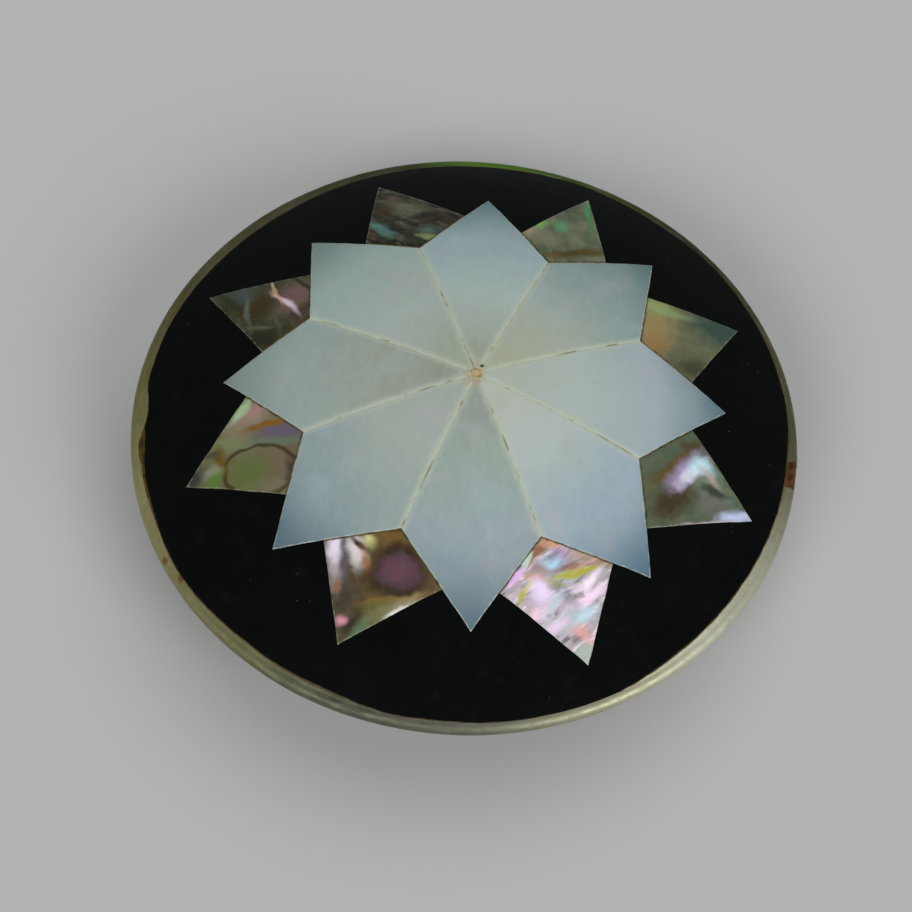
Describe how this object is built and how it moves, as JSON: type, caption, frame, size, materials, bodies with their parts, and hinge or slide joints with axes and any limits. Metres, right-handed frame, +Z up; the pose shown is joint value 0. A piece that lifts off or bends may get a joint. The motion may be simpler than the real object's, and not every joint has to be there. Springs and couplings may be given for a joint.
{
  "type": "pill box",
  "caption": "Round hinged metal pill box with a domed lid, black resin field and an inlaid star of pearl petals and abalone points.",
  "frame": {"origin": "centre of the flat foot under the base, on the surface the box stands on", "axes": "+Z up, +Y towards the hinge, -Y towards the user who lifts the front of the lid, +X to the user's right"},
  "size_m": [0.05, 0.05, 0.0153],
  "materials": {
    "nickel_silver": "satin",
    "pin_wire": "satin",
    "black_resin": "gloss",
    "brown_resin": "gloss",
    "mother_of_pearl": "polished",
    "abalone": "polished"
  },
  "bodies": {
    "base": {"base_cup": "nickel_silver", "base_hinge_leaf": "nickel_silver", "hinge_pin": "pin_wire"},
    "lid": {"lid_plate": "nickel_silver", "lid_flange": "nickel_silver", "lid_hinge_knuckle": "nickel_silver", "rim_strip": "nickel_silver", "joint_fill": "brown_resin", "resin_field": "black_resin", "centre_fill": "brown_resin", "pearl_petal_1": "mother_of_pearl", "pearl_petal_2": "mother_of_pearl", "pearl_petal_3": "mother_of_pearl", "pearl_petal_4": "mother_of_pearl", "pearl_petal_5": "mother_of_pearl", "pearl_petal_6": "mother_of_pearl", "pearl_petal_7": "mother_of_pearl", "pearl_petal_8": "mother_of_pearl", "abalone_point_1": "abalone", "abalone_point_2": "abalone", "abalone_point_3": "abalone", "abalone_point_4": "abalone", "abalone_point_5": "abalone", "abalone_point_6": "abalone", "abalone_point_7": "abalone", "abalone_point_8": "abalone"}
  },
  "joints": [
    {"name": "lid_hinge", "type": "hinge", "parent": "base", "child": "lid", "pos_m": [0, 0.0235, 0.00805], "axis": [-1, 0, 0], "range_deg": [0, 105]}
  ]
}
